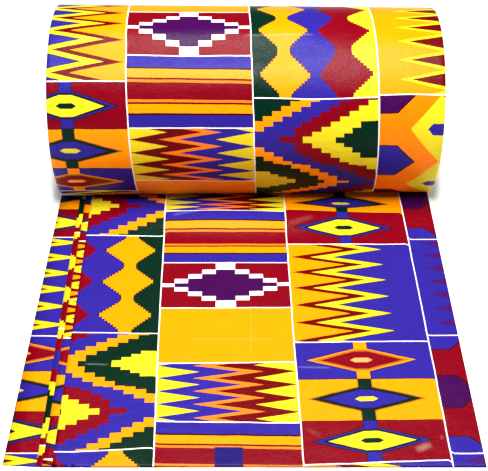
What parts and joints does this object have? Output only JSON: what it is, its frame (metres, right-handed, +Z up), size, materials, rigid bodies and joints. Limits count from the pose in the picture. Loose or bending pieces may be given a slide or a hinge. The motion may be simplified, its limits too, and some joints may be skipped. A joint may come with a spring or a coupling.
{
  "type": "roll of african print fabric",
  "caption": "Roll of printed cotton cloth, doubled lengthwise and wound without a core, resting on its flattened underside, with a loose end drawn out flat in front.",
  "frame": {"origin": "on the resting surface, under the middle of the roll", "axes": "+X along the roll to its folded end, +Y away from the loose end, +Z up"},
  "size_m": [0.6005, 0.7958, 0.263],
  "materials": {
    "print_cotton": "matt printed cotton with a light wax glaze, kente pattern in gold, yellow, red, blue, green and purple with white lines"
  },
  "bodies": {
    "root": {"cloth_roll": "print_cotton", "cloth_loose_end": "print_cotton"}
  },
  "joints": []
}
